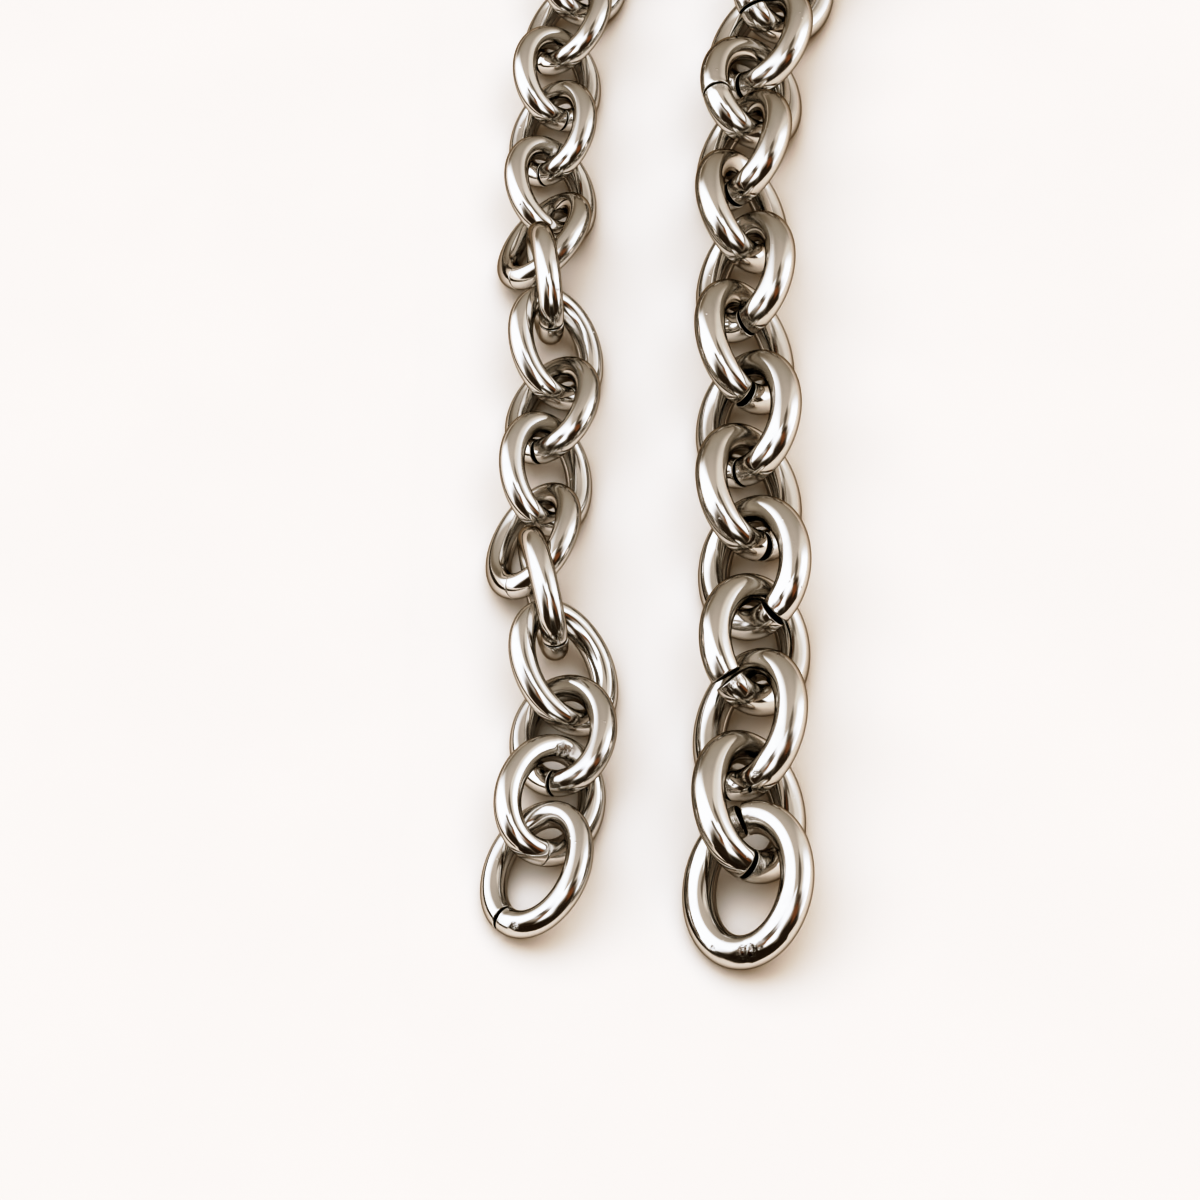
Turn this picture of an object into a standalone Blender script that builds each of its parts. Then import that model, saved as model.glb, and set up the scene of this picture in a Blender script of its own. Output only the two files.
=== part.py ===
"""Two cut lengths of oval cable chain, laid side by side on a level floor.

Each link is one piece of round wire, bent to an oval. Its two cut ends meet without a weld, so
a narrow slit shows there. Neighbouring links lean to opposite sides: the high side of each
passes over the low side of the next, and the low side of each lies on the floor. Two links of
the fine length stand on edge between flatter ones.
Metres, +Z up. The chains run along +Y from their near ends, and the origin lies on the floor
under the middle of both.
"""

import math
from collections import namedtuple

import bmesh
import bpy
import numpy as np
from mathutils import Vector

MM = 0.001

# One kind of chain. Wire, length and width are the outside of a link; pitch is the distance
# between neighbouring links as they lie, and usual the lean, turn and tip that they have by
# rule. Start is the middle of the first link, heading the way that the chain first runs
# (degrees right of +Y), and bend_start the distance along it at which it turns to the right.
Chain = namedtuple("Chain", "name wire length width pitch usual start heading bend_start "
                            "lays cuts colour")

# How one link lies, where it doesn't follow the rule: distance from the last link, distance
# right of the chain's run, lean (positive where the right side is high), turn to the right,
# and how far the far end is tipped up. Millimetres and degrees.
Lay = namedtuple("Lay", "step beside lean turn tip")

# Both lengths are cut to half a foot
CUT_LENGTH = 152.4 * MM

# The far end of each length turns to the right
BEND_ANGLE = 17.0
BEND_RUN = 22.0 * MM

# A link's mesh: cuts along the whole oval, and sides round the wire
WIRE_CUTS = 18
WIRE_SIDES = 8
LEAST_CUT_ANGLE = 5.0

NICKEL_ROUGHNESS = 0.14

# The slit of each link: its place round the oval, in degrees from the far end by way of the
# right side, and its width in millimetres. Links past the end of a list start it again.
HEAVY_CUTS = (
    (350, 0.40), (178, 0.35), (199, 0.25), (202, 0.45), (166, 0.45), (160, 0.50), (192, 0.25),
    (187, 0.40), (176, 0.20), (155, 0.15), (184, 0.30), (236, 0.15), (190, 0.30), (204, 0.20),
)
FINE_CUTS = (
    (206, 0.35), (158, 0.20), (204, 0.30), (170, 0.15), (186, 0.20), (194, 0.20), (160, 0.20),
    (196, 0.40), (172, 0.20), (182, 0.15), (200, 0.15), (12, 0.12), (192, 0.20), (164, 0.20),
)

HEAVY_LAYS = {
    1: Lay(0.0, 0.0, 22, 4, 12),
    2: Lay(5.8, 0.1, -37, 4, -3),
    3: Lay(6.6, 0.2, 38, 2, 3),
    4: Lay(6.7, 0.6, -38, 12, -6),
    5: Lay(6.7, 0.6, 38, -8, -1),
    6: Lay(6.7, 0.3, -38, 3, -3),
    7: Lay(6.7, 0.3, 40, -2, 0),
    8: Lay(6.8, 0.1, -41, -3, 1),
    9: Lay(6.8, 0.2, 43, 1, 0),
    10: Lay(6.5, 0.0, -44, -1, -5),
    11: Lay(6.3, 0.1, 45, 3, -3),
    12: Lay(6.6, 0.1, -34, 1, -8),
    13: Lay(5.8, -0.2, 33, -4, 1),
    14: Lay(6.5, -0.1, -36, 2, -2),
    15: Lay(6.4, 0.0, 40, -4, 0),
}
FINE_LAYS = {
    1: Lay(0.0, -0.5, 22, 14, 7),
    2: Lay(5.2, 0.3, -32, 20, -3),
    3: Lay(5.4, 1.1, 26, -8, -7),
    4: Lay(5.4, 1.1, -24, -19, 17),
    5: Lay(5.4, -0.3, -87, -12, 2),
    6: Lay(5.5, -1.0, 38, 9, -3),
    7: Lay(6.0, -0.2, -38, 2, 4),
    8: Lay(6.1, 0.2, 33, 3, -7),
    9: Lay(5.8, 0.4, -32, -8, 13),
    10: Lay(5.3, -0.4, -91, -7, -2),
    11: Lay(5.3, -0.5, 37, 15, -6),
    12: Lay(5.4, -0.1, -32, -4, 3),
}

HEAVY = Chain(
    name="heavy_link", wire=2.2 * MM, length=11.5 * MM, width=8.8 * MM, pitch=6.6 * MM,
    usual=(40.0, -4.0, -2.0),
    start=(9.3 * MM, -25.5 * MM), heading=0.9, bend_start=62.0 * MM,
    lays=HEAVY_LAYS, cuts=HEAVY_CUTS, colour=(0.60, 0.57, 0.53, 1.0),
)
FINE = Chain(
    name="fine_link", wire=1.8 * MM, length=10.0 * MM, width=7.6 * MM, pitch=5.9 * MM,
    usual=(35.0, 0.0, 0.0),
    start=(-3.5 * MM, -23.9 * MM), heading=0.0, bend_start=66.0 * MM,
    lays=FINE_LAYS, cuts=FINE_CUTS, colour=(0.63, 0.60, 0.56, 1.0),
)


def clear_scene():
    """Empties the file that the script is run in."""
    for leftover in list(bpy.data.objects):
        bpy.data.objects.remove(leftover, do_unlink=True)


def nickel(name, colour):
    """Bright nickel plating on one size of wire."""
    material = bpy.data.materials.new(name)
    material.use_nodes = True
    shader = material.node_tree.nodes["Principled BSDF"]
    shader.inputs["Base Color"].default_value = colour
    shader.inputs["Metallic"].default_value = 1.0
    shader.inputs["Roughness"].default_value = NICKEL_ROUGHNESS
    return material


def wire_angles(chain, cut_at, slit):
    """The places round the oval where the wire has a section, from one cut end to the other."""
    half_width = (chain.width - chain.wire) / 2
    half_length = (chain.length - chain.wire) / 2
    cut = math.radians(cut_at)
    speed = math.hypot(half_width * math.cos(cut), half_length * math.sin(cut))
    half_slit = slit * MM / 2 / speed
    start, end = cut + half_slit, cut + 2 * math.pi - half_slit
    clear = math.radians(LEAST_CUT_ANGLE)
    evenly = [k * 2 * math.pi / WIRE_CUTS for k in range(2 * WIRE_CUTS + 1)]
    return [start] + [angle for angle in evenly if start + clear < angle < end - clear] + [end]


def link_mesh(chain, name, lean, cut_at, slit):
    """Carries a round section along the oval, and closes it with a flat face at each cut end.

    The oval is an ellipse in the plane of X (across) and Y (along). The section is turned so
    that one of its flats faces the floor where a link that leans by this much touches it.
    """
    half_width = (chain.width - chain.wire) / 2
    half_length = (chain.length - chain.wire) / 2
    side = 2 * math.pi / WIRE_SIDES
    # The many-sided section has the area of the round wire
    corner = chain.wire / 2 * math.sqrt(side / math.sin(side))
    floor_side = math.radians(abs(lean) - 90)
    form = bmesh.new()
    rings = []
    for angle in wire_angles(chain, cut_at, slit):
        middle = Vector((half_width * math.sin(angle), half_length * math.cos(angle), 0))
        outward = Vector((half_length * math.sin(angle), half_width * math.cos(angle), 0)).normalized()
        ring = []
        for k in range(WIRE_SIDES):
            turn = floor_side + (k + 0.5) * side
            place = middle + corner * (math.cos(turn) * outward + math.sin(turn) * Vector((0, 0, 1)))
            ring.append(form.verts.new(place))
        rings.append(ring)
    for near, far in zip(rings, rings[1:]):
        for k in range(WIRE_SIDES):
            after = (k + 1) % WIRE_SIDES
            form.faces.new((near[k], near[after], far[after], far[k]))
    form.faces.new(rings[0])
    form.faces.new(rings[-1])
    bmesh.ops.recalc_face_normals(form, faces=form.faces[:])
    mesh = bpy.data.meshes.new(name)
    form.to_mesh(mesh)
    form.free()
    mesh.shade_smooth()
    mesh.set_sharp_from_angle(angle=math.radians(50))
    return mesh


def route(chain, distance):
    """The point this far along a chain's run, and the heading there in degrees.

    The run is straight, then turns right on an arc, then is straight again.
    """
    turned = min(max(distance - chain.bend_start, 0) / BEND_RUN, 1)
    first, last = math.radians(chain.heading), math.radians(chain.heading + BEND_ANGLE * turned)
    straight = min(distance, chain.bend_start)
    beyond = max(distance - chain.bend_start - BEND_RUN, 0)
    x = chain.start[0] + straight * math.sin(first) + beyond * math.sin(last)
    y = chain.start[1] + straight * math.cos(first) + beyond * math.cos(last)
    if turned > 0:
        radius = BEND_RUN / math.radians(BEND_ANGLE)
        x += radius * (math.cos(first) - math.cos(last))
        y += radius * (math.sin(last) - math.sin(first))
    return x, y, math.degrees(last)


def usual_lay(chain, number):
    """Links lean and turn to one side and the other in turn."""
    lean, turn, tip = chain.usual
    side = 1 if number % 2 else -1
    return Lay(chain.pitch / MM, 0.0, side * lean, side * turn, tip)


def lay_chain(chain, parent):
    """Makes the links of one chain and lays each on the floor.

    Links are added while one more brings the chain nearer to the length that it is cut to.
    """
    material = nickel(chain.name + "_nickel", chain.colour)
    number, distance = 0, 0.0
    while distance + chain.length + chain.pitch / 2 < CUT_LENGTH:
        number += 1
        lay = chain.lays.get(number, usual_lay(chain, number))
        cut_at, slit = chain.cuts[(number - 1) % len(chain.cuts)]
        distance += lay.step * MM
        x, y, heading = route(chain, distance)
        name = f"{chain.name}_{number:02d}"
        link = bpy.data.objects.new(name, link_mesh(chain, name, lay.lean, cut_at, slit))
        link.data.materials.append(material)
        bpy.context.collection.objects.link(link)
        link.rotation_mode = "YXZ"
        link.rotation_euler = [math.radians(a) for a in (lay.tip, -lay.lean, -(lay.turn + heading))]
        right = math.radians(heading)
        link.location = (x + lay.beside * MM * math.cos(right), y - lay.beside * MM * math.sin(right), 0)
        link.parent = parent
        drop_to_floor(link)


def world_points(link):
    """The link's corners as rows of x, y and z, where the link is."""
    corners = np.array([corner.co for corner in link.data.vertices])
    turn = np.array(link.rotation_euler.to_matrix())
    return corners @ turn.T + np.array(link.location)


def drop_to_floor(link):
    """Lowers or raises a link until its lowest flat lies on the floor."""
    link.location.z -= world_points(link)[:, 2].min()


def centre_on_origin(parent):
    """Moves both chains so that the middle of their box is over the origin."""
    points = np.concatenate([world_points(link) for link in parent.children])
    middle = (points.min(axis=0) + points.max(axis=0)) / 2
    for link in parent.children:
        link.location.x -= middle[0]
        link.location.y -= middle[1]


def main():
    clear_scene()
    pair = bpy.data.objects.new("chain_lengths", None)
    bpy.context.collection.objects.link(pair)
    for chain in (HEAVY, FINE):
        lay_chain(chain, pair)
    centre_on_origin(pair)


main()
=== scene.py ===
"""Dresses two lengths of oval cable chain in bright nickel plate, on a pale floor in soft light.

Every link of the frame gets a smooth round wire in its place, with its cut ends, its slight
waviness and its scuffs. The file is laid out as an add-on and run as a script.
"""

import math
from collections import namedtuple

import bpy
import numpy as np
from bpy.props import FloatProperty, FloatVectorProperty, PointerProperty
from mathutils import Matrix, Vector


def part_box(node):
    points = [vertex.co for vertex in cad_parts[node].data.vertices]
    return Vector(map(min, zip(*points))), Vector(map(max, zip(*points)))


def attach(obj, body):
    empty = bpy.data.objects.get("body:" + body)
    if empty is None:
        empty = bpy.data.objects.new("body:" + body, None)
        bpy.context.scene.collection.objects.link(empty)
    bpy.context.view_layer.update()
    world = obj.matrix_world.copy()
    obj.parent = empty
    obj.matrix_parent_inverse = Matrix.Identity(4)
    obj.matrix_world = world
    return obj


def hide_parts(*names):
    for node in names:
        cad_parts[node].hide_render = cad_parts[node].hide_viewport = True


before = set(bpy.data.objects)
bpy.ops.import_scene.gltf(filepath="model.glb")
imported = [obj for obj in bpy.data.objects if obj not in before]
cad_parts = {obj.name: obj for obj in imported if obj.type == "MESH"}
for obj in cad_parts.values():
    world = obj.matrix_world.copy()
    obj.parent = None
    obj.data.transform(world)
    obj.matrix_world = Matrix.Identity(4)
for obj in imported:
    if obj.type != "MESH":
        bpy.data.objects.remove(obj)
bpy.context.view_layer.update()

bl_info = {
    "name": "Oval cable chain",
    "version": (1, 0, 0),
    "blender": (4, 5, 0),
    "location": "3D View > Sidebar > Chain",
    "description": "Dresses laid lengths of oval cable chain and sets the floor, light and camera",
    "category": "Object",
}

MM = 0.001
BODY = "root"

# A link's grid: rings along the wire, sides round it, and steps over the rounded rim of a cut
# end and across its face
RINGS_ALONG = 132
SIDES_ROUND = 48
EDGE_RINGS = 4
FACE_RINGS = 3

# How many extra rings stand at the ends and the scuffs for each one elsewhere, how far from an
# end that reaches, and how far from the middle of a scuff, as a share of the scuff's own reach
CROWDING = 4.0
CROWDED_END = 0.8 * MM
CROWDED_SCUFF = 1.2

# Steps in which the oval and the wire are measured
OVAL_STEPS = 3600
WIRE_STEPS = 4000
DENSITY_STEPS = 2000

# The wire's radius as a share of its nominal one. The flats of the frame's many-sided wire lie
# about this far from its middle, so links that nearly touch in the frame don't overlap here.
WIRE_SHARE = 0.98

# One kind of unevenness: what it adds to a link's seed, how many waves it sums, and the least
# and most of their length along the wire in metres and of their whole number of lobes round it
Waves = namedtuple("Waves", "seed_step count length lobes")
SWELL = Waves(0, 7, (3.5 * MM, 9 * MM), (0, 2))
SKEW = Waves(10, 3, (1.0, 2.0), (1, 2))
CRUSH = Waves(20, 10, (0.65 * MM, 1.6 * MM), (1, 4))
LIP = Waves(30, 6, (0.6 * MM, 2 * MM), (1, 3))
RUMPLE = Waves(50, 12, (0.35 * MM, 0.9 * MM), (3, 9))

# Seed of each length before its first link, and the step from link to link
FIRST_SEED = {"heavy": 1000, "fine": 2000}
LINK_SEEDS = 10

# Height of the crushed end and of a scuff, as shares of their depth: gain times unevenness, less
# how far they sink. The lip at the wire's start only has a gain.
CRUSH_GAIN, CRUSH_SINK = 1.5, 0.6
RUMPLE_GAIN, RUMPLE_SINK = 1.6, 0.5
LIP_GAIN = 0.8

# How far the slit runs askew in millimetres, and how far from the cut the wire follows it and
# has its lip
ASKEW = 0.07
ASKEW_REACH = 0.55 * MM

# How scuffed the wire's start and its crushed end are, and how far from the cut that reaches
START_SCUFF, START_REACH = 0.35, 0.5 * MM
END_SCUFF, END_REACH = 0.6, 0.65 * MM

# Depth from which a scuff breaks the plating's polish fully
FULL_SCUFF = 0.03 * MM

# Share of the rim's rounding beyond which the cut face is unplated steel, painted near black as the shade
# inside the slit
BARE_AND_SHADED_FROM = 0.8

# Scuffs that the links carry: place round the oval and round the wire in degrees, as a link
# lies in its own plane, with how far they reach and how rough they are in millimetres
SCUFFS = {
    "heavy_link_01": ((171, 60, 0.60, 0.120), (205, 65, 0.25, 0.020)),
    "heavy_link_02": ((8, 118, 0.40, 0.015),),
    "heavy_link_03": ((160, 60, 0.35, 0.020),),
    "heavy_link_04": ((172, 95, 0.40, 0.020),),
    "heavy_link_06": ((5, 115, 0.40, 0.015),),
    "fine_link_01": ((180, 55, 0.30, 0.025),),
    "fine_link_02": ((338, 118, 0.55, 0.080),),
    "fine_link_09": ((170, 60, 0.30, 0.015),),
}

# How much of a link's slit in the frame stays open, where the cut ends meet closer than by rule
CLOSED_SLITS = {
    "fine_link_02": 0.05, "fine_link_04": 0.2, "fine_link_06": 0.05, "fine_link_07": 0.3,
    "fine_link_11": 0.05, "heavy_link_05": 0.6,
}

# How far apart the stretches of the patterns are that neighbouring links read, in metres
PATTERN_STEP = (0.05, 0.01, 0.0)

# The sheared steel of the cut faces, which the plating doesn't reach, painted near black as the shade
# inside the slit; and the steel that shows where a deep scuff has gone through the plating
BARE_STEEL_AND_SLIT_SHADE = (0.03, 0.024, 0.019)
WORN_THROUGH = (0.16, 0.085, 0.05)

# What is left of the plating's brightness under haze and on scuffs
HAZE_SHARE = 0.95
SCUFF_SHARE = 0.82

# What nicks, scuffs and a cut face add to the plating's roughness
NICK_ROUGHNESS = 0.2
SCUFF_ROUGHNESS = 0.08
CUT_ROUGHNESS = 0.35

# Heights of the finest relief, in millimetres
LINE_HEIGHT = 0.0012
NICK_HEIGHT = -0.012
SCUFF_HEIGHT = 0.055


class ChainLinkSizes(bpy.types.PropertyGroup):
    """The wire and the outside of the links, as the frame has them"""

    heavy_wire: FloatProperty(
        name="Heavy wire", description="Wire thickness of the heavy length",
        default=2.2 * MM, min=0.5 * MM, unit="LENGTH", precision=5)
    heavy_length: FloatProperty(
        name="Heavy link length", description="Outside length of a heavy link",
        default=11.5 * MM, min=2 * MM, unit="LENGTH", precision=5)
    heavy_width: FloatProperty(
        name="Heavy link width", description="Outside width of a heavy link",
        default=8.8 * MM, min=2 * MM, unit="LENGTH", precision=5)
    fine_wire: FloatProperty(
        name="Fine wire", description="Wire thickness of the fine length",
        default=1.8 * MM, min=0.5 * MM, unit="LENGTH", precision=5)
    fine_length: FloatProperty(
        name="Fine link length", description="Outside length of a fine link",
        default=10.0 * MM, min=2 * MM, unit="LENGTH", precision=5)
    fine_width: FloatProperty(
        name="Fine link width", description="Outside width of a fine link",
        default=7.6 * MM, min=2 * MM, unit="LENGTH", precision=5)
    edge_share: FloatProperty(
        name="Cut edge", description="Radius that the rim of a cut end is rounded to, per wire thickness",
        default=0.035, min=0.01, max=0.2, subtype="FACTOR")
    waviness: FloatProperty(
        name="Waviness", description="How far the drawn wire's surface swells and dips",
        default=0.010 * MM, min=0.0, unit="LENGTH", precision=6)
    heavy_slit: FloatProperty(
        name="Heavy slit", description="How much of the slit in the frame stays open in a heavy link",
        default=0.85, min=0.02, max=1.0, subtype="FACTOR")
    fine_slit: FloatProperty(
        name="Fine slit", description="How much of the slit in the frame stays open in a fine link",
        default=0.55, min=0.02, max=1.0, subtype="FACTOR")
    crush: FloatProperty(
        name="Cut end crush", description="How far the cutter's bite has upset the wire beside a cut",
        default=0.050 * MM, min=0.0, unit="LENGTH", precision=6)


class NickelFinish(bpy.types.PropertyGroup):
    """The bright plating"""

    heavy_colour: FloatVectorProperty(
        name="Heavy nickel", description="Colour that the heavy length's plating reflects",
        subtype="COLOR", size=3, min=0.0, max=1.0, default=(0.685, 0.660, 0.633))
    fine_colour: FloatVectorProperty(
        name="Fine nickel", description="Colour that the fine length's plating reflects",
        subtype="COLOR", size=3, min=0.0, max=1.0, default=(0.69, 0.668, 0.645))
    roughness: FloatProperty(
        name="Roughness", description="Roughness of the clean plating",
        default=0.09, min=0.0, max=1.0, subtype="FACTOR")
    # The dark grazing tint is painted shade: it dims the reflection at the links' rims, as if they
    # mirrored the shaded floor beside them
    rim_colour: FloatVectorProperty(
        name="Grazing tint", description="What is left of the reflection just short of grazing",
        subtype="COLOR", size=3, min=0.0, max=1.0, default=(0.24, 0.18, 0.125))
    haze: FloatProperty(
        name="Haze", description="How much rougher the plating is where it is handled or thin",
        default=0.10, min=0.0, max=1.0, subtype="FACTOR")


class StudioSettings(bpy.types.PropertyGroup):
    """Floor, light and camera"""

    elevation: FloatProperty(
        name="Camera elevation", description="Angle that the camera looks down at",
        default=math.radians(50.0), subtype="ANGLE")
    distance: FloatProperty(
        name="Camera distance", description="From the camera to the floor at the picture's middle",
        default=272.9 * MM, min=0.01, unit="LENGTH")
    lens: FloatProperty(
        name="Focal length", description="Focal length in millimetres on a 36 mm wide sensor",
        default=121.5, min=10.0)
    aim_right: FloatProperty(
        name="Aim right", description="Picture's middle, right of the first heavy link",
        default=-9.3 * MM, unit="LENGTH", precision=5)
    aim_far: FloatProperty(
        name="Aim far", description="Picture's middle, beyond the first heavy link",
        default=25.5 * MM, unit="LENGTH", precision=5)
    floor_size: FloatProperty(
        name="Floor size", description="Side of the square floor",
        default=3.0, min=0.2, unit="LENGTH")
    floor_colour: FloatVectorProperty(
        name="Floor colour", description="Colour of the pale floor",
        subtype="COLOR", size=3, min=0.0, max=1.0, default=(0.58, 0.50, 0.42))
    top_strength: FloatProperty(
        name="Top light", description="Strength of the soft light over the floor",
        default=5.98, min=0.0)
    top_colour: FloatVectorProperty(
        name="Top light colour", description="Colour of the soft light over the floor",
        subtype="COLOR", size=3, min=0.0, max=1.0, default=(0.611, 0.779, 1.0))
    top_spread: FloatProperty(
        name="Top light spread", description="Angle that the soft light over the floor fills",
        default=math.radians(98.0), subtype="ANGLE")
    top_lean: FloatProperty(
        name="Top light lean", description="How far left of overhead the top light stands",
        default=math.radians(12.0), subtype="ANGLE")
    brightness: FloatProperty(
        name="Light", description="Strength of all the studio light",
        default=1.0, min=0.0)


def bell(off, reach):
    """A bell curve, exp(-(off / reach) squared): 1 at its middle, and nearly 0 at twice its
    reach."""
    return np.exp(-(off / reach) ** 2)


def bumpy(distance, turn, kind, seed, height=1.0):
    """Height of a bumpy field on the wire: the sum of share * sin(2 pi / length * distance +
    lobes * turn + phase) over waves picked at random, whose shares add up to the height."""
    pick = np.random.default_rng(seed + kind.seed_step)
    length = pick.uniform(kind.length[0], kind.length[1], kind.count)
    lobes = pick.integers(kind.lobes[0], kind.lobes[1] + 1, kind.count)
    phase = pick.uniform(0, 2 * math.pi, kind.count)
    share = pick.uniform(0.5, 1.0, kind.count)
    share = share * height / share.sum()
    angle = distance[..., None] * (2 * math.pi / length) + turn[..., None] * lobes + phase
    return (np.sin(angle) * share).sum(axis=-1)


def oval(half_width, half_length, angle):
    """Centre line, outward direction and running direction of the oval: the centre line is
    (half_width sin angle, half_length cos angle, 0), and the outward direction is square to it
    in its plane."""
    flat = np.zeros_like(angle)
    middle = np.stack([half_width * np.sin(angle), half_length * np.cos(angle), flat], axis=-1)
    outward = np.stack([half_length * np.sin(angle), half_width * np.cos(angle), flat], axis=-1)
    outward /= np.linalg.norm(outward, axis=-1, keepdims=True)
    running = np.stack([outward[..., 1], -outward[..., 0], flat], axis=-1)
    return middle, outward, running


class LinkPlace:
    """Where one link of the frame lies: its middle, its axes (right, along, up out of its own
    plane) and the angles round the oval at which its wire starts and ends."""

    TABLE = np.linspace(0, 2 * math.pi, OVAL_STEPS + 1)[:-1]

    # The fit of the oval: its rounds, its trial slides (metres) and turn (radians), and how far
    # off a corner of the solid may stay
    FIT_ROUNDS = 6
    TRIAL_MOVES = (1e-5, 1e-5, 1e-3)
    FIT_TOLERANCE = 0.05 * MM

    # A face is a cut face where the cosine between its normal and the wire is over this
    FACES_ALONG = 0.9

    def __init__(self, node, wire, length, width):
        self.openness = 1.0
        self.half_width = (width - wire) / 2
        self.half_length = (length - wire) / 2
        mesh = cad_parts[node].data
        corners = np.zeros(len(mesh.vertices) * 3)
        mesh.vertices.foreach_get("co", corners)
        corners = corners.reshape(-1, 3)
        single = np.unique(np.round(corners, 7), axis=0)
        self.middle = single.mean(axis=0)
        spread = np.linalg.eigh(np.cov((single - self.middle).T))[1]
        along = spread[:, 2] * math.copysign(1, spread[1, 2])
        right = spread[:, 1] * math.copysign(1, spread[0, 1])
        self.axes = np.stack([right, along, np.cross(right, along)])
        self.settle(single)
        self.find_cut(mesh, corners)

    def nearest(self, points):
        """Angle of the oval's nearest point to each point in the link's own axes, and the
        distance to it in the link's plane."""
        line = oval(self.half_width, self.half_length, self.TABLE)[0]
        apart = np.hypot(points[:, None, 0] - line[:, 0], points[:, None, 1] - line[:, 1])
        best = apart.argmin(axis=1)
        return self.TABLE[best], apart[np.arange(len(best)), best]

    def settle(self, points):
        """Slides and turns the oval in its plane until all corners of the solid are equally far
        from it, by a few Gauss-Newton steps."""
        def unevenness(move):
            middle, axes = self.moved(move)
            local = (points - middle) @ axes.T
            far = np.hypot(self.nearest(local)[1], local[:, 2])
            return far - far.mean()

        trials = np.diag(self.TRIAL_MOVES)
        for _ in range(self.FIT_ROUNDS):
            here = unevenness(np.zeros(3))
            slopes = np.stack([(unevenness(trial) - here) / size
                               for trial, size in zip(trials, self.TRIAL_MOVES)], axis=1)
            change = np.linalg.lstsq(slopes, -here, rcond=None)[0]
            self.middle, self.axes = self.moved(change)
        if np.abs(unevenness(np.zeros(3))).max() > self.FIT_TOLERANCE:
            raise ValueError("a link of the frame isn't the oval that the sizes give")

    def moved(self, move):
        """Middle and axes after a slide along right and along, and a turn in the plane."""
        right, along, up = self.axes
        cos, sin = math.cos(move[2]), math.sin(move[2])
        middle = self.middle + move[0] * right + move[1] * along
        return middle, np.stack([cos * right + sin * along, cos * along - sin * right, up])

    def find_cut(self, mesh, corners):
        """The wire's ends are the faces that look along it."""
        mesh.calc_loop_triangles()
        triangles = np.zeros(len(mesh.loop_triangles) * 3, dtype=np.int64)
        mesh.loop_triangles.foreach_get("vertices", triangles)
        faces = corners[triangles.reshape(-1, 3)]
        facing = np.cross(faces[:, 1] - faces[:, 0], faces[:, 2] - faces[:, 0])
        facing /= np.linalg.norm(facing, axis=1, keepdims=True)
        local = (faces.mean(axis=1) - self.middle) @ self.axes.T
        angles = self.nearest(local)[0]
        running = oval(self.half_width, self.half_length, angles)[2]
        lookout = ((facing @ self.axes.T) * running).sum(axis=1)
        start = np.median(angles[lookout < -self.FACES_ALONG])
        end = np.median(angles[lookout > self.FACES_ALONG])
        self.start = start
        self.end = end if end > start else end + 2 * math.pi

    def close_slit(self, share):
        """Runs both cut ends on until only this share of the slit is open."""
        self.openness = share
        spare = (2 * math.pi - (self.end - self.start)) * (1 - share) / 2
        self.start -= spare
        self.end += spare


def scuff_marks(scuffs, table, reached):
    """A link's scuffs as distance along its wire, turn round it, reach and depth."""
    marks = []
    for angle, turn, reach, depth in scuffs:
        angle = math.radians(angle)
        while angle < table[0]:
            angle += 2 * math.pi
        marks.append((np.interp(angle, table, reached), math.radians(turn), reach * MM, depth * MM))
    return marks


def ring_places(length, edge, busy):
    """Distances along the wire of the rings between its rounded ends: evenly spaced steps of
    their summed density, which is 1 plus a bell at each end and at each busy place."""
    fine = np.linspace(edge, length - edge, DENSITY_STEPS)
    density = 1 + CROWDING * bell(fine - edge, CROWDED_END)
    density += CROWDING * bell(length - edge - fine, CROWDED_END)
    for place, reach in busy:
        density += CROWDING * bell(fine - place, CROWDED_SCUFF * reach)
    counted = np.concatenate([[0], np.cumsum((density[1:] + density[:-1]) / 2)])
    return np.interp(np.linspace(0, counted[-1], RINGS_ALONG), counted, fine)


def ring_profile(length, radius, edge, busy):
    """Every ring's distance along the wire and its inset from the wire's surface.

    The rings run from the start's cut face over its rim, along the wire, and over the far rim
    to the other face. A rim is a quarter circle, whose ring at angle q lies edge * (1 - sin q)
    from the wire's end and edge * (1 - cos q) inside its surface. A face's rings are evenly
    spaced from its rim to its middle.
    """
    body = ring_places(length, edge, busy)
    quarter = np.linspace(0, math.pi / 2, EDGE_RINGS + 1)[1:]
    rim_distance = edge * (1 - np.sin(quarter))
    rim_inset = edge * (1 - np.cos(quarter))
    face_inset = radius - (radius - edge) * np.linspace(1, 0, FACE_RINGS + 1)[1:-1]
    distance = np.concatenate([np.zeros(len(face_inset)), rim_distance[::-1], body,
                               length - rim_distance, np.full(len(face_inset), length)])
    inset = np.concatenate([face_inset[::-1], rim_inset[::-1], np.zeros(RINGS_ALONG), rim_inset,
                            face_inset])
    return distance, inset


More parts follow.
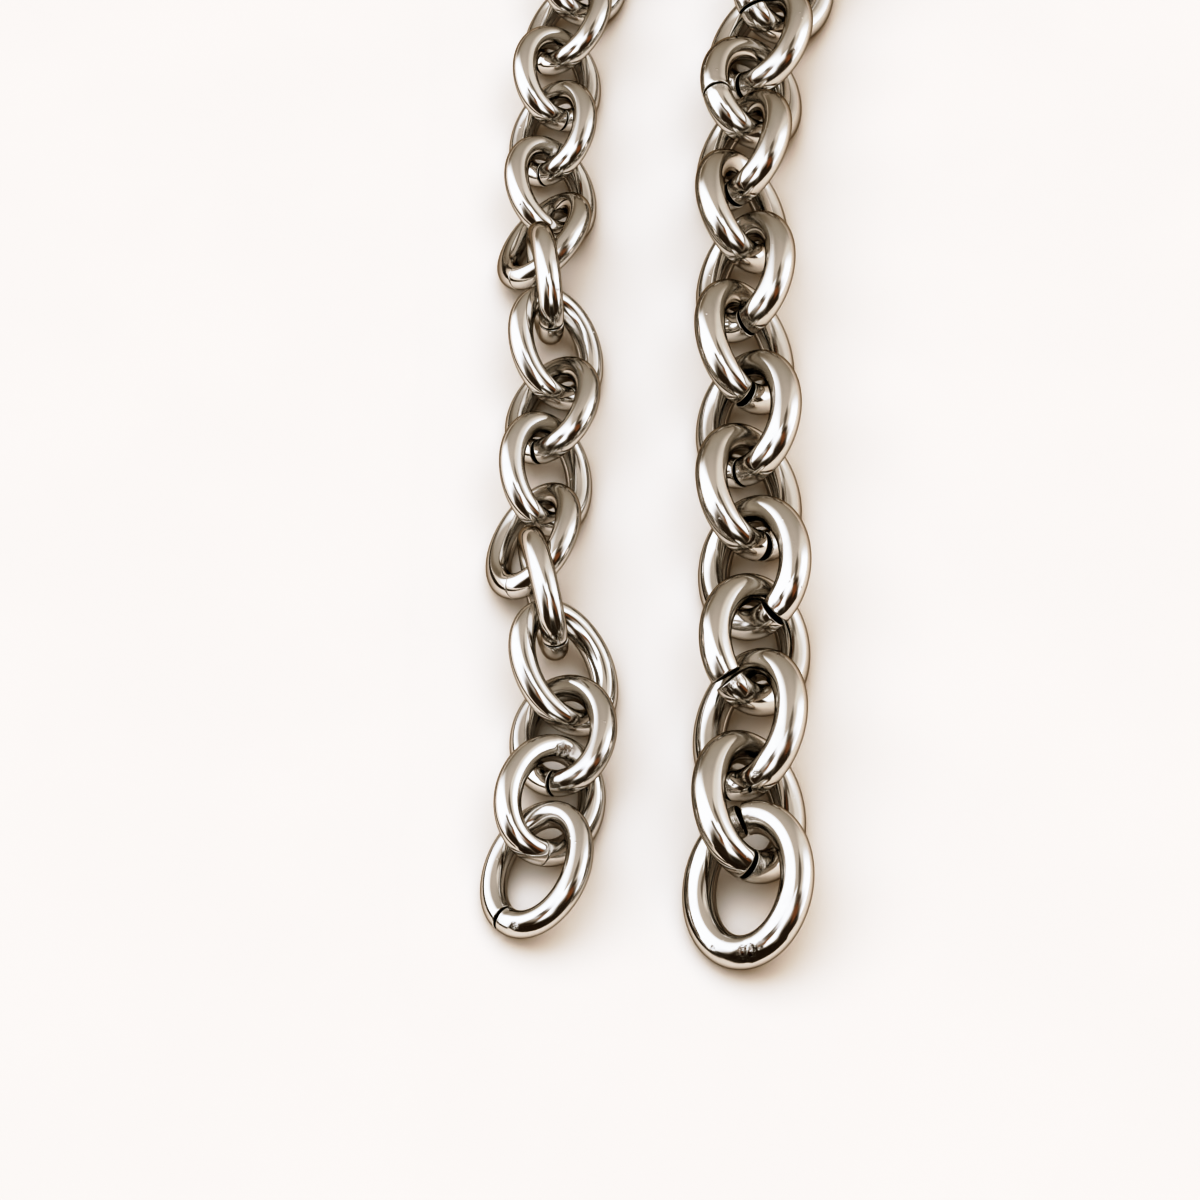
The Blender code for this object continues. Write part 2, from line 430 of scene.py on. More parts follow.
def worn_girth(along, turn, inset, radius, marks, place, sizes, seed):
    """The wire's radius at every point of its grid, and how scuffed it is there, from 0 to 1.

    The girth is radius - inset plus slow swells. Each scuff adds depth * (gain * rumple - sink)
    under a bell round its middle, the crushed far end adds the same under a bell at the cut, and
    the start adds a lip. All of it shrinks with the girth towards the middle of a cut face.
    """
    girth = np.broadcast_to((radius - inset)[:, None], along.shape).copy()
    fullness = girth / radius
    scuffed = np.zeros_like(girth)
    girth += bumpy(along, turn, SWELL, seed, sizes.waviness) * fullness
    for number, (at, side, reach, depth) in enumerate(marks):
        away = np.hypot(along - at, radius * np.angle(np.exp(1j * (turn - side))))
        mask = bell(away, reach)
        rumple = bumpy(along, turn, RUMPLE, seed + number)
        girth += depth * (rumple * RUMPLE_GAIN - RUMPLE_SINK) * mask * fullness
        scuffed = np.maximum(scuffed, mask * min(1.0, depth / FULL_SCUFF))

    upset = sizes.crush * place.openness
    bite = bell(along[-1, 0] - along, END_REACH)
    girth += upset * (CRUSH_GAIN * bumpy(along, turn, CRUSH, seed) - CRUSH_SINK) * bite * fullness
    lip = upset * LIP_GAIN * bumpy(along, turn, LIP, seed)
    girth += lip * bell(along, ASKEW_REACH) * fullness
    scuffed = np.maximum(scuffed, END_SCUFF * bite * place.openness)
    scuffed = np.maximum(scuffed, START_SCUFF * bell(along, START_REACH) * place.openness)
    return girth, scuffed


def link_surface(place, radius, sizes, seed, scuffs):
    """The surface of one link's wire, as rings of points with two poles.

    A ring stands at each distance along the oval, and its point at turn v is centre line +
    girth * (cos v * outward + sin v * up). Near the cut, both ends shift along the wire by the
    same curve of v, so that the slit runs askew.
    """
    edge = 2 * radius * sizes.edge_share
    table = np.linspace(place.start, place.end, WIRE_STEPS + 1)
    line = oval(place.half_width, place.half_length, table)[0]
    steps = np.linalg.norm(np.diff(line, axis=0), axis=1)
    reached = np.concatenate([[0], np.cumsum(steps)])
    length = reached[-1]
    marks = scuff_marks(scuffs, table, reached)
    distance, inset = ring_profile(length, radius, edge, [(mark[0], mark[2]) for mark in marks])
    turns = np.arange(SIDES_ROUND) * 2 * math.pi / SIDES_ROUND
    along, turn = np.meshgrid(distance, turns, indexing="ij")
    girth, scuffed = worn_girth(along, turn, inset, radius, marks, place, sizes, seed)

    skew = bumpy(np.zeros_like(along), turn, SKEW, seed)
    near_cut = bell(along, ASKEW_REACH) + bell(length - along, ASKEW_REACH)
    shifted = along + skew * ASKEW * MM * near_cut
    angle = np.interp(shifted, reached, table)
    # Past the ends of the table the wire runs straight on
    over = np.minimum(shifted, 0) + np.maximum(shifted - length, 0)
    middle, outward, running = oval(place.half_width, place.half_length, angle)
    up = np.array([0.0, 0.0, 1.0])
    local = (middle + running * over[..., None]
             + girth[..., None] * (np.cos(turn)[..., None] * outward
                                   + np.sin(turn)[..., None] * up))
    poles = np.stack([local[0].mean(axis=0), local[-1].mean(axis=0)])
    # Mask of the cut faces, which the plating paints near black as the shade inside the slit
    bare_and_shaded = np.broadcast_to((inset > BARE_AND_SHADED_FROM * edge)[:, None], along.shape).astype(float)
    straight = np.stack([along, girth * np.cos(turn), girth * np.sin(turn)], axis=-1)
    return local, poles, straight, scuffed, bare_and_shaded


def tube_faces(rings, sides):
    """Quads between neighbouring rings, and a fan of triangles round each of the two poles,
    which come after all rings in the list of points."""
    ring, side = np.meshgrid(np.arange(rings - 1), np.arange(sides), indexing="ij")
    after = (side + 1) % sides
    quads = np.stack([ring * sides + side, (ring + 1) * sides + side,
                      (ring + 1) * sides + after, ring * sides + after], axis=-1).reshape(-1, 4)
    side = np.arange(sides)
    after = (side + 1) % sides
    first = np.stack([side, after, np.full(sides, rings * sides)], axis=-1)
    last = (rings - 1) * sides
    second = np.stack([last + after, last + side, np.full(sides, rings * sides + 1)], axis=-1)
    return quads, np.concatenate([first, second])


NO_TRIANGLES = np.zeros((0, 3), dtype=np.int64)


def mesh_from_arrays(name, points, quads, triangles=NO_TRIANGLES):
    """Puts points and faces into a new mesh, all faces smooth."""
    mesh = bpy.data.meshes.new(name)
    mesh.vertices.add(len(points))
    mesh.vertices.foreach_set("co", points.ravel())
    corners = np.concatenate([quads.ravel(), triangles.ravel()])
    mesh.loops.add(len(corners))
    mesh.loops.foreach_set("vertex_index", corners)
    sizes = np.concatenate([np.full(len(quads), 4), np.full(len(triangles), 3)])
    mesh.polygons.add(len(sizes))
    mesh.polygons.foreach_set("loop_start", np.concatenate([[0], np.cumsum(sizes)[:-1]]))
    mesh.update(calc_edges=True)
    mesh.validate()
    mesh.shade_smooth()
    return mesh


def mark_points(mesh, name, values):
    """Gives every point of a mesh a number, or a place, under a name."""
    kind, key = ("FLOAT_VECTOR", "vector") if values.ndim == 2 else ("FLOAT", "value")
    mesh.attributes.new(name, kind, "POINT").data.foreach_set(key, values.ravel())


def put_in_scene(name, data):
    """Makes an object at the origin, in the scene's own collection."""
    item = bpy.data.objects.new(name, data)
    bpy.context.scene.collection.objects.link(item)
    return item


def kept_inside(points, low, high):
    """Presses points into a box by the hair that a smooth oval stands out of it: along each
    axis, least + share * (most - least), with the ends brought inside the box."""
    least, most = points.min(axis=0), points.max(axis=0)
    share = (points - least) / (most - least)
    least, most = np.maximum(least, low), np.minimum(most, high)
    return least + share * (most - least)


def dress_link(node, kind, material, sizes):
    """Makes the smooth link that stands for one node of the frame."""
    wire = getattr(sizes, kind + "_wire")
    place = LinkPlace(node, wire, getattr(sizes, kind + "_length"), getattr(sizes, kind + "_width"))
    place.close_slit(CLOSED_SLITS.get(node, getattr(sizes, kind + "_slit")))
    number = int(node.rsplit("_", 1)[1])
    seed = FIRST_SEED[kind] + LINK_SEEDS * number
    local, poles, straight, scuffed, bare_and_shaded = link_surface(
        place, wire / 2 * WIRE_SHARE, sizes, seed, SCUFFS.get(node, ()))
    points = np.concatenate([local.reshape(-1, 3), poles]) @ place.axes + place.middle
    points = kept_inside(points, *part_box(node))
    mesh = mesh_from_arrays(node + "_plated", points, *tube_faces(*local.shape[:2]))
    ends = np.array([[0, 0, 0], [straight[-1, 0, 0], 0, 0]])
    offset = number * np.array(PATTERN_STEP)
    mark_points(mesh, "wire_place", np.concatenate([straight.reshape(-1, 3), ends]) + offset)
    mark_points(mesh, "scuff", np.concatenate([scuffed.ravel(), [START_SCUFF, END_SCUFF]]))
    # The cut faces' mask, which the material paints near black as the shade inside the slit
    mark_points(mesh, "cut_face", np.concatenate([bare_and_shaded.ravel(), [1.0, 1.0]]))
    mesh.materials.append(material)
    link = put_in_scene(node + "_plated", mesh)
    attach(link, BODY)
    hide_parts(node)


def opaque(colour, share=1.0):
    """A colour as a socket takes it, with this share of its brightness."""
    return (*(share * channel for channel in colour), 1.0)


def new_group(name, inputs, outputs):
    """A shader node group with named sockets: inputs as (name, type, default), outputs as
    (name, type)."""
    group = bpy.data.node_groups.new(name, "ShaderNodeTree")
    for label, kind, default in inputs:
        socket = group.interface.new_socket(label, in_out="INPUT", socket_type=kind)
        if default is not None:
            socket.default_value = default
    for label, kind in outputs:
        group.interface.new_socket(label, in_out="OUTPUT", socket_type=kind)
    return group, group.nodes.new("NodeGroupInput"), group.nodes.new("NodeGroupOutput")


class Wiring:
    """Short ways to add and join nodes in one tree."""

    def __init__(self, tree):
        self.tree = tree

    def put(self, socket, value):
        """Joins or sets one input."""
        if isinstance(value, bpy.types.NodeSocket):
            self.tree.links.new(value, socket)
        elif value is not None:
            socket.default_value = value

    def math(self, operation, first, second=None, third=None):
        """One sum, from up to three numbers."""
        node = self.tree.nodes.new("ShaderNodeMath")
        node.operation = operation
        for socket, value in zip(node.inputs, (first, second, third)):
            self.put(socket, value)
        return node.outputs[0]

    def stretch(self, vector, by):
        """A place multiplied by a number along each axis."""
        node = self.tree.nodes.new("ShaderNodeVectorMath")
        node.operation = "MULTIPLY"
        self.put(node.inputs[0], vector)
        self.put(node.inputs[1], by)
        return node.outputs[0]

    def remap(self, value, low, high, to_low=0.0, to_high=1.0):
        """A soft step from to_low at low to to_high at high."""
        node = self.tree.nodes.new("ShaderNodeMapRange")
        node.interpolation_type = "SMOOTHSTEP"
        for socket, item in zip(node.inputs, (value, low, high, to_low, to_high)):
            self.put(socket, item)
        return node.outputs[0]

    def noise(self, vector, scale, detail=2.0, roughness=0.5):
        """Soft noise, with about this many waves per metre."""
        node = self.tree.nodes.new("ShaderNodeTexNoise")
        self.put(node.inputs["Vector"], vector)
        self.put(node.inputs["Scale"], scale)
        node.inputs["Detail"].default_value = detail
        node.inputs["Roughness"].default_value = roughness
        return node.outputs["Fac"]

    def mix(self, factor, first, second):
        """The first colour where the factor is 0, and the second where it is 1."""
        node = self.tree.nodes.new("ShaderNodeMix")
        node.data_type = "RGBA"
        self.put(node.inputs["Factor"], factor)
        self.put(node.inputs[6], first)
        self.put(node.inputs[7], second)
        return node.outputs[2]

    def attribute(self, name):
        """What the piece's own points say under this name."""
        node = self.tree.nodes.new("ShaderNodeAttribute")
        node.attribute_name = name
        return node

    def group(self, group, **values):
        """A node group, with its inputs named with _ for a space."""
        node = self.tree.nodes.new("ShaderNodeGroup")
        node.node_tree = group
        for label, value in values.items():
            self.put(node.inputs[label.replace("_", " ")], value)
        return node


def drawn_wire_group():
    """Group that gives the faint lines which the drawing die leaves along a wire, under its
    plating: noise stretched along the wire."""
    group, given, out = new_group(
        "Drawn wire lines",
        (("Place", "NodeSocketVector", None), ("Spacing", "NodeSocketFloat", 9000.0)),
        (("Height", "NodeSocketFloat"),))
    wiring = Wiring(group)
    stretched = wiring.stretch(given.outputs["Place"], by=(0.02, 1.0, 1.0))
    lines = wiring.noise(stretched, given.outputs["Spacing"], detail=2.0, roughness=0.55)
    wiring.put(out.inputs["Height"], lines)
    return group


def handling_group():
    """Group that gives what handling leaves on plating: broad haze, and sparse tiny nicks,
    which are the middles of cells that a second noise leaves in."""
    group, given, out = new_group(
        "Handling marks",
        (("Place", "NodeSocketVector", None), ("Haze size", "NodeSocketFloat", 350.0),
         ("Nick size", "NodeSocketFloat", 1400.0)),
        (("Haze", "NodeSocketFloat"), ("Nicks", "NodeSocketFloat")))
    wiring = Wiring(group)
    place = given.outputs["Place"]
    haze = wiring.noise(place, given.outputs["Haze size"], detail=3.0, roughness=0.6)
    wiring.put(out.inputs["Haze"], wiring.remap(haze, low=0.42, high=0.72))
    cells = group.nodes.new("ShaderNodeTexVoronoi")
    cells.feature = "F1"
    wiring.put(cells.inputs["Vector"], place)
    wiring.put(cells.inputs["Scale"], given.outputs["Nick size"])
    spot = wiring.remap(cells.outputs["Distance"], low=0.05, high=0.16, to_low=1.0, to_high=0.0)
    rare = wiring.remap(wiring.noise(place, scale=900.0, detail=1.0), low=0.60, high=0.66)
    wiring.put(out.inputs["Nicks"], wiring.math("MULTIPLY", spot, rare))
    return group


def scuff_group():
    """Group that gives a scuff's rumpled height, its cover and the pits in its middle from the
    piece's own mask."""
    group, given, out = new_group(
        "Scuffs",
        (("Place", "NodeSocketVector", None), ("Mask", "NodeSocketFloat", 0.0)),
        (("Height", "NodeSocketFloat"), ("Cover", "NodeSocketFloat"), ("Pits", "NodeSocketFloat")))
    wiring = Wiring(group)
    place, mask = given.outputs["Place"], given.outputs["Mask"]
    coarse = wiring.noise(place, scale=2600.0, detail=3.0, roughness=0.6)
    pitted = wiring.remap(wiring.noise(place, scale=4200.0, roughness=0.6), low=0.48, high=0.57)
    # The noise, from -0.35 to 0.35, breaks up the edge of the mask
    broken = wiring.math("ADD", mask, wiring.math("MULTIPLY_ADD", coarse, 0.7, -0.35))
    cover = wiring.remap(broken, low=0.30, high=0.75)
    wiring.put(out.inputs["Cover"], cover)
    wiring.put(out.inputs["Height"], wiring.math("MULTIPLY", coarse, cover))
    deep = wiring.remap(mask, low=0.62, high=0.80)
    wiring.put(out.inputs["Pits"], wiring.math("MULTIPLY", pitted, deep))
    return group


def nickel_material(name, colour, finish, groups):
    """Bright nickel plate: a mirror with faint draw lines, haze, nicks and scuffs, and cut faces painted
    near black as the shade inside the slit.
    """
    material = bpy.data.materials.new(name)
    material.use_nodes = True
    tree = material.node_tree
    shader = tree.nodes["Principled BSDF"]
    wiring = Wiring(tree)
    place = wiring.attribute("wire_place").outputs["Vector"]
    mask = wiring.attribute("scuff").outputs["Fac"]
    cut = wiring.attribute("cut_face").outputs["Fac"]
    lines = wiring.group(groups["lines"], Place=place)
    marks = wiring.group(groups["handling"], Place=place)
    scuffs = wiring.group(groups["scuffs"], Place=place, Mask=mask)

    tone = wiring.mix(marks.outputs["Haze"], opaque(colour), opaque(colour, HAZE_SHARE))
    tone = wiring.mix(scuffs.outputs["Cover"], tone, opaque(colour, SCUFF_SHARE))
    tone = wiring.mix(scuffs.outputs["Pits"], tone, opaque(WORN_THROUGH))
    # The cut faces' near-black colour is painted shade: the dark inside of the slit
    wiring.put(shader.inputs["Base Color"], wiring.mix(cut, tone, opaque(BARE_STEEL_AND_SLIT_SHADE)))
    shader.inputs["Metallic"].default_value = 1.0
    # Painted shade at the rims: the dark grazing tint dims the reflection there
    shader.inputs["Specular Tint"].default_value = opaque(finish.rim_colour)

    rough = wiring.math("MULTIPLY_ADD", marks.outputs["Haze"], finish.haze, finish.roughness)
    rough = wiring.math("MULTIPLY_ADD", marks.outputs["Nicks"], NICK_ROUGHNESS, rough)
    rough = wiring.math("MULTIPLY_ADD", scuffs.outputs["Cover"], SCUFF_ROUGHNESS, rough)
    wiring.put(shader.inputs["Roughness"], wiring.math("MULTIPLY_ADD", cut, CUT_ROUGHNESS, rough))

    height = wiring.math("MULTIPLY", lines.outputs["Height"], LINE_HEIGHT)
    height = wiring.math("MULTIPLY_ADD", marks.outputs["Nicks"], NICK_HEIGHT, height)
    height = wiring.math("MULTIPLY_ADD", scuffs.outputs["Height"], SCUFF_HEIGHT, height)
    bump = tree.nodes.new("ShaderNodeBump")
    bump.inputs["Strength"].default_value = 1.0
    bump.inputs["Distance"].default_value = 1.0 * MM
    wiring.put(bump.inputs["Height"], height)
    wiring.put(shader.inputs["Normal"], bump.outputs["Normal"])
    return material


def nickel_groups():
    """The effects that both sizes of link share, made once."""
    makers = {
        "lines": ("Drawn wire lines", drawn_wire_group),
        "handling": ("Handling marks", handling_group),
        "scuffs": ("Scuffs", scuff_group),
    }
    return {key: bpy.data.node_groups.get(label) or make() for key, (label, make) in makers.items()}


def dress_length(context, kind):
    """Dresses every link of one length."""
    scene = context.scene
    colour = getattr(scene.nickel_finish, kind + "_colour")
    material = nickel_material(kind + "_nickel", colour, scene.nickel_finish, nickel_groups())
    nodes = sorted(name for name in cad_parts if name.startswith(kind + "_link_"))
    if not nodes:
        raise ValueError("the frame has no links of the " + kind + " length")
    for node in nodes:
        dress_link(node, kind, material, scene.chain_link_sizes)


# What is left of the floor's brightness in its mottle, and the squares along each of its sides
MOTTLE_SHARE = 0.985
FLOOR_CUTS = 8


def floor_material(colour):
    """Pale coated board: matt, with the faintest mottle."""
    material = bpy.data.materials.new("pale_board")
    material.use_nodes = True
    tree = material.node_tree
    shader = tree.nodes["Principled BSDF"]
    wiring = Wiring(tree)
    where = tree.nodes.new("ShaderNodeTexCoord")
    spread = wiring.noise(where.outputs["Object"], scale=60.0, detail=3.0)
    mottle = wiring.remap(spread, low=0.35, high=0.65)
    wiring.put(shader.inputs["Base Color"],
               wiring.mix(mottle, opaque(colour), opaque(colour, MOTTLE_SHARE)))
    shader.inputs["Roughness"].default_value = 0.6
    shader.inputs["Specular IOR Level"].default_value = 0.25
    return material


def lay_floor(studio):
    """A level square floor, as a grid over two parameters."""
    half = studio.floor_size / 2
    row_points = FLOOR_CUTS + 1
    side = np.linspace(-half, half, row_points)
    across, away = np.meshgrid(side, side, indexing="ij")
    points = np.stack([across, away, np.zeros_like(across)], axis=-1).reshape(-1, 3)
    row, column = np.meshgrid(np.arange(FLOOR_CUTS), np.arange(FLOOR_CUTS), indexing="ij")
    start = (row * row_points + column).ravel()
    quads = np.stack([start, start + row_points, start + row_points + 1, start + 1], axis=-1)
    mesh = mesh_from_arrays("floor", points, quads)
    mesh.materials.append(floor_material(studio.floor_colour))
    floor = put_in_scene("floor", mesh)


def panel_group():
    """Group that masks one panel of the studio sky: a patch of azimuth and elevation, in
    degrees, with soft edges."""
    group, given, out = new_group(
        "Sky panel",
        (("Azimuth", "NodeSocketFloat", 0.0), ("Elevation", "NodeSocketFloat", 0.0),
         ("Middle azimuth", "NodeSocketFloat", 0.0), ("Half azimuth", "NodeSocketFloat", 30.0),
         ("Middle elevation", "NodeSocketFloat", 45.0), ("Half elevation", "NodeSocketFloat", 15.0),
         ("Softness", "NodeSocketFloat", 6.0)),
        (("Mask", "NodeSocketFloat"),))
    wiring = Wiring(group)
    soft = given.outputs["Softness"]

    def within(off, half):
        inner = wiring.math("SUBTRACT", half, soft)
        outer = wiring.math("ADD", half, soft)
        return wiring.remap(off, inner, outer, to_low=1.0, to_high=0.0)

    turn = wiring.math("SUBTRACT", given.outputs["Azimuth"], given.outputs["Middle azimuth"])
    wrapped = wiring.math("WRAP", turn, 180.0, -180.0)
    across = within(wiring.math("ABSOLUTE", wrapped), given.outputs["Half azimuth"])
    rise = wiring.math("SUBTRACT", given.outputs["Elevation"], given.outputs["Middle elevation"])
    upright = within(wiring.math("ABSOLUTE", rise), given.outputs["Half elevation"])
    wiring.put(out.inputs["Mask"], wiring.math("MULTIPLY", across, upright))
    return group


# Colour times strength of the soft light panels
WHITE_LIGHT = (1.40, 1.46, 1.54)

# The studio sky's panels, painted over each other in this order: middle and half azimuth in
# degrees right of the far side, middle and half elevation, softness, and colour times strength
SKY_PANELS = (
    ("lower wall", 0, 62, -2, 16, 14, (0.47, 0.43, 0.39)),
    ("upper wall", 0, 120, 68, 24, 22, (0.63, 0.60, 0.57)),
    ("front light", 180, 112, 72, 36, 8, WHITE_LIGHT),
    ("left light", -79, 38, 40, 62, 11, WHITE_LIGHT),
    ("right glow", 50, 15, 30, 42, 10, (0.84, 0.82, 0.80)),
    ("right light", 84, 28, 14, 32, 8, WHITE_LIGHT),
    ("right haze", 84, 34, 60, 14, 8, (0.74, 0.71, 0.68)),
    ("dark smudge", -29, 12, 6, 9, 7, (0.30, 0.26, 0.22)),
    ("dark front", 180, 66, 0, 33, 6, (0.05, 0.04, 0.034)),
    ("right wedge shade", 124, 30, 40, 22, 12, (0.36, 0.32, 0.29)),
    ("right wedge", 127, 23, 17, 31, 5, (0.06, 0.042, 0.032)),
    ("right wedge neck", 104, 11, 54, 12, 5, (0.09, 0.065, 0.05)),
    ("right wedge top", 66, 38, 69, 7, 5, (0.20, 0.17, 0.15)),
    ("right copper", 114, 8, 42, 15, 5, (0.30, 0.14, 0.07)),
    ("left wedge shade", -138, 28, 38, 22, 12, (0.36, 0.33, 0.31)),
    ("left wedge", -142, 22, 20, 24, 5, (0.06, 0.042, 0.032)),
    ("left wedge top", -134, 36, 67, 6, 5, (0.16, 0.13, 0.11)),
    ("left copper", -156, 9, 58, 9, 5, (0.30, 0.15, 0.08)),
)

# The sky between its panels
SKY_BASE = (0.50, 0.47, 0.44)

# The light that the matt floor gets from the sky, and by way of the links. Both are dim and
# brown beside the top light, so the floor under and inside the links turns brown.
DOME_LIGHT = (0.50, 0.315, 0.13)
LINK_GLOW = (0.30, 0.18, 0.07)

# What a camera sees past the edge of the floor
WALL_COLOUR = (0.93, 0.915, 0.90)


def light_sky(studio):
    """The studio's sky. The plating mirrors its soft panels, the matt floor gets only a dim
    warm light from it, and a camera that looks past the floor sees a plain pale wall."""
    world = bpy.data.worlds.new("studio")
    world.use_nodes = True
    tree = world.node_tree
    wiring = Wiring(tree)
    background = tree.nodes["Background"]
    group = panel_group()
    where = tree.nodes.new("ShaderNodeTexCoord")
    split = tree.nodes.new("ShaderNodeSeparateXYZ")
    wiring.put(split.inputs[0], where.outputs["Generated"])
    azimuth = wiring.math("DEGREES", wiring.math("ARCTAN2", split.outputs["X"], split.outputs["Y"]))
    elevation = wiring.math("DEGREES", wiring.math("ARCSINE", split.outputs["Z"]))
    colour = opaque(SKY_BASE)
    for name, azimuth_middle, azimuth_half, rise_middle, rise_half, softness, light in SKY_PANELS:
        panel = wiring.group(group, Azimuth=azimuth, Elevation=elevation,
                             Middle_azimuth=azimuth_middle, Half_azimuth=azimuth_half,
                             Middle_elevation=rise_middle, Half_elevation=rise_half, Softness=softness)
        panel.label = name
        colour = wiring.mix(panel.outputs["Mask"], colour, opaque(light))
    ray = tree.nodes.new("ShaderNodeLightPath")
    dome = wiring.mix(ray.outputs["Is Glossy Ray"], opaque(DOME_LIGHT), opaque(LINK_GLOW))
    lit = wiring.mix(wiring.math("MINIMUM", ray.outputs["Diffuse Depth"], 1.0), colour, dome)
    wiring.put(background.inputs["Color"],
               wiring.mix(ray.outputs["Is Camera Ray"], lit, opaque(WALL_COLOUR)))
    background.inputs["Strength"].default_value = studio.brightness
    # Rays that are sent to the sky on purpose can't tell what they light, so none are
    world.cycles.sampling_method = "NONE"
    bpy.context.scene.world = world


def hang_top_light(studio):
    """A wide soft disc of light overhead, a little to the left, that only the floor takes: the
    plating mirrors the sky's panels instead."""
    data = bpy.data.lights.new("top_light", "SUN")
    data.energy = studio.top_strength * studio.brightness
    data.color = studio.top_colour
    data.angle = studio.top_spread
    light = put_in_scene("top_light", data)
    light.rotation_euler = (0.0, -studio.top_lean, 0.0)
    light.visible_glossy = False


# Low dark cards that only the plating sees: painted dark reflections, which stand in for the shaded floor
# beside the lengths and a dark object in front of them, much as a jeweller's photographer stands dark
# cards beside bright work. Columns: name, the two ends of the foot (right and far of the picture's
# middle), and height, all in millimetres. A card is dark on the side that is on the left when walking
# from end to end.
CARDS = (
    ("card_left", (-13.0, 110.0), (-13.0, -32.0), 1.6),
    ("card_between", (2.4, 110.0), (2.4, -34.0), 1.2),
    ("card_front", (-12.0, -34.5), (22.0, -36.5), 6.0),
)
CARD_COLOUR = (0.05, 0.036, 0.026)


def card_material():
    """Dark on its front and clear on its back."""
    material = bpy.data.materials.new("dark_card")
    material.use_nodes = True
    tree = material.node_tree
    shader = tree.nodes["Principled BSDF"]
    shader.inputs["Base Color"].default_value = opaque(CARD_COLOUR)
    shader.inputs["Roughness"].default_value = 0.8
    shader.inputs["Specular IOR Level"].default_value = 0.1
    clear = tree.nodes.new("ShaderNodeBsdfTransparent")
    side = tree.nodes.new("ShaderNodeNewGeometry")
    both = tree.nodes.new("ShaderNodeMixShader")
    tree.links.new(side.outputs["Backfacing"], both.inputs["Fac"])
    tree.links.new(shader.outputs[0], both.inputs[1])
    tree.links.new(clear.outputs[0], both.inputs[2])
    tree.links.new(both.outputs[0], tree.nodes["Material Output"].inputs["Surface"])
    return material


def picture_middle(studio):
    """The point of the floor in the middle of the picture."""
    low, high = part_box("heavy_link_01")
    return Vector(((low[0] + high[0]) / 2 + studio.aim_right, (low[1] + high[1]) / 2 + studio.aim_far, 0))


def stand_cards(studio):
    """Stands the dark cards beside the lengths, each a rectangle over two parameters."""
    aim = picture_middle(studio)
    material = card_material()
    run, rise = np.meshgrid([0.0, 1.0], [0.0, 1.0], indexing="ij")
    for name, start, end, height in CARDS:
        foot = np.array(start) + run[..., None] * (np.array(end) - np.array(start))
        points = np.concatenate([foot * MM + np.array(aim[:2]), rise[..., None] * height * MM], axis=-1)
        mesh = mesh_from_arrays(name, points.reshape(-1, 3), np.array([[1, 3, 2, 0]]))
        mesh.materials.append(material)
        card = put_in_scene(name, mesh)
        # Only the plating sees the cards, so they paint dark reflections and nothing else
        card.visible_camera = False
        card.visible_diffuse = False
        card.visible_shadow = False


def set_camera(studio):
    """Looks down at the floor from the near side, along the lengths."""
    aim = picture_middle(studio)
    back = studio.distance * math.cos(studio.elevation)
    height = studio.distance * math.sin(studio.elevation)
    data = bpy.data.cameras.new("camera")
    data.lens = studio.lens
    data.sensor_width = 36.0
    data.clip_start = 0.01
    camera = put_in_scene("camera", data)
    tilt = Matrix.Rotation(math.pi / 2 - studio.elevation, 4, "X")
    camera.matrix_world = Matrix.Translation(aim + Vector((0, -back, height))) @ tilt
    bpy.context.scene.camera = camera


# The picture's tone, as linear brightness in and out: deep shadows sink and light tones rise
TONE_CURVE = ((0.025, 0.007), (0.114, 0.068), (0.305, 0.296), (0.63, 0.76), (0.91, 0.955))

# After that, green and blue lose a little in the shades, which warms them, and gain a little in
# the lights
GREEN_CURVE = ((0.15, 0.142), (0.5, 0.490), (0.93, 0.935))
BLUE_CURVE = ((0.12, 0.096), (0.42, 0.395), (0.90, 0.918))


def set_tone(view):
    """Gives the picture the contrast and warmth of a finished product photograph, by smooth
    curves that run from black to white through the points listed above."""
    view.view_transform = "Standard"
    view.look = "None"
    view.use_curve_mapping = True
    mapping = view.curve_mapping
    green, blue, combined = mapping.curves[1], mapping.curves[2], mapping.curves[3]
    for curve, points in ((combined, TONE_CURVE), (green, GREEN_CURVE), (blue, BLUE_CURVE)):
        for place, level in points:
            curve.points.new(place, level)
    mapping.update()


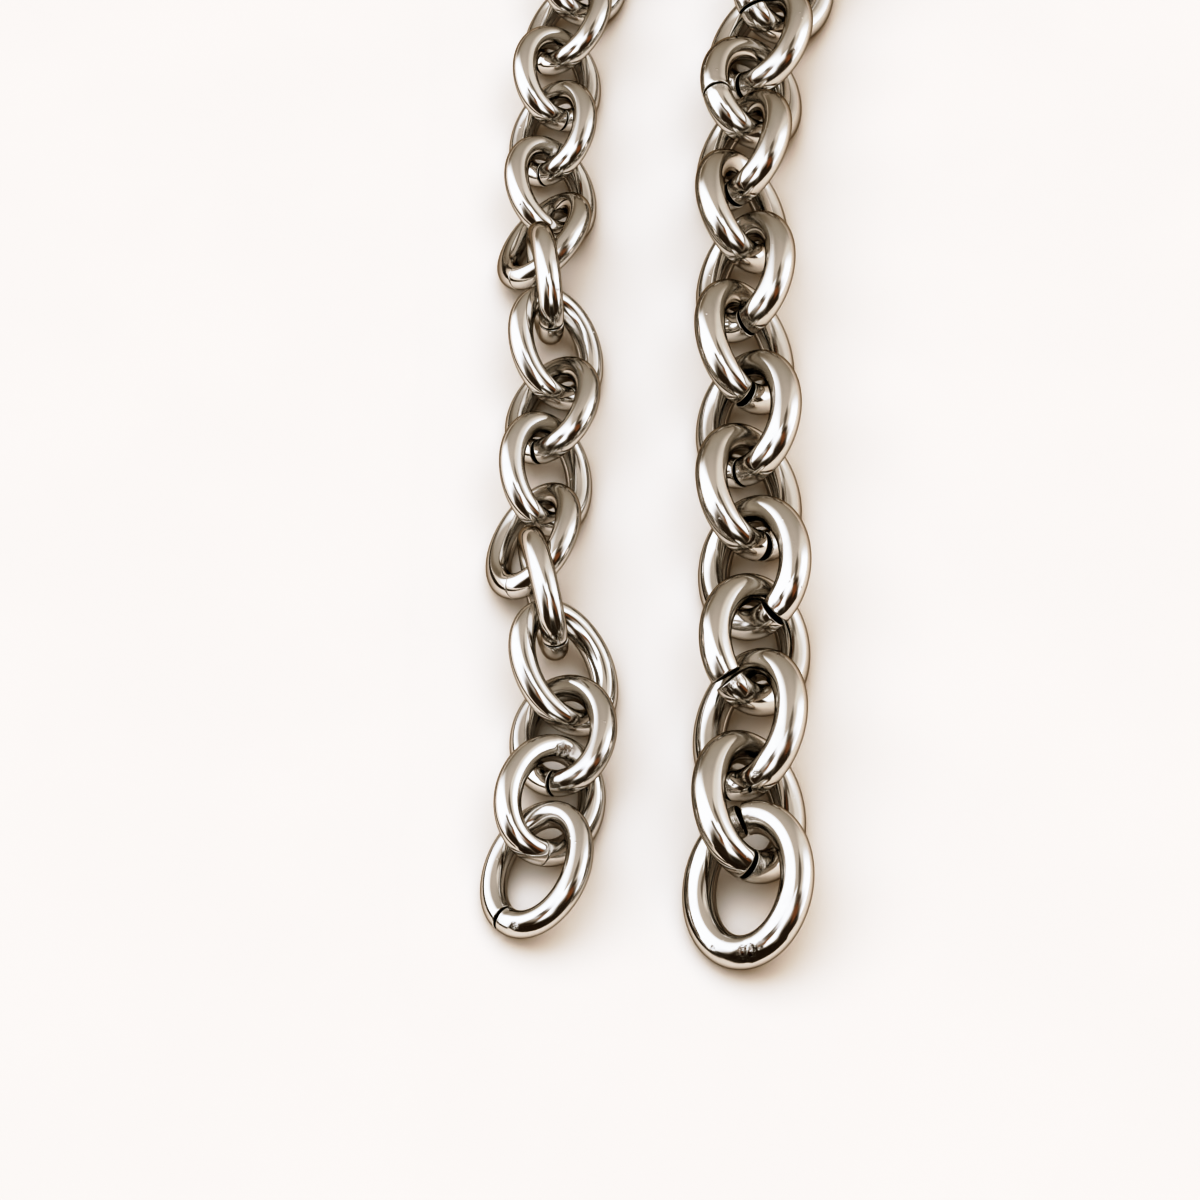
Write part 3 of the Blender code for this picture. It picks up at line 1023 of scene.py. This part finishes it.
class CHAIN_OT_dress_heavy(bpy.types.Operator):
    """Dress the links of the heavy length"""

    bl_idname = "chain.dress_heavy"
    bl_label = "Dress heavy links"

    def execute(self, context):
        dress_length(context, "heavy")
        return {"FINISHED"}


class CHAIN_OT_dress_fine(bpy.types.Operator):
    """Dress the links of the fine length"""

    bl_idname = "chain.dress_fine"
    bl_label = "Dress fine links"

    def execute(self, context):
        dress_length(context, "fine")
        return {"FINISHED"}


class CHAIN_OT_set_stage(bpy.types.Operator):
    """Lay the floor, light the studio and set up the camera"""

    bl_idname = "chain.set_stage"
    bl_label = "Set the stage"

    def execute(self, context):
        studio = context.scene.chain_studio
        lay_floor(studio)
        stand_cards(studio)
        light_sky(studio)
        hang_top_light(studio)
        set_camera(studio)
        set_tone(context.scene.view_settings)
        return {"FINISHED"}


class VIEW3D_PT_chain(bpy.types.Panel):
    """Settings and steps of the chain"""

    bl_label = "Oval cable chain"
    bl_space_type = "VIEW_3D"
    bl_region_type = "UI"
    bl_category = "Chain"

    def draw(self, context):
        for holder in (context.scene.chain_link_sizes, context.scene.nickel_finish,
                       context.scene.chain_studio):
            box = self.layout.box()
            for name in holder.__annotations__:
                box.prop(holder, name)
        for step in STEPS:
            self.layout.operator(step.bl_idname)


STEPS = (CHAIN_OT_dress_heavy, CHAIN_OT_dress_fine, CHAIN_OT_set_stage)
SETTINGS = {"chain_link_sizes": ChainLinkSizes, "nickel_finish": NickelFinish,
            "chain_studio": StudioSettings}


def register():
    for group in SETTINGS.values():
        bpy.utils.register_class(group)
    for name, group in SETTINGS.items():
        setattr(bpy.types.Scene, name, PointerProperty(type=group))
    for item in (*STEPS, VIEW3D_PT_chain):
        bpy.utils.register_class(item)


def unregister():
    for item in (VIEW3D_PT_chain, *reversed(STEPS)):
        bpy.utils.unregister_class(item)
    for name in SETTINGS:
        delattr(bpy.types.Scene, name)
    for group in reversed(SETTINGS.values()):
        bpy.utils.unregister_class(group)


def main():
    """Runs every step in order."""
    register()
    bpy.ops.chain.dress_heavy()
    bpy.ops.chain.dress_fine()
    bpy.ops.chain.set_stage()


if __name__ == "__main__":
    main()
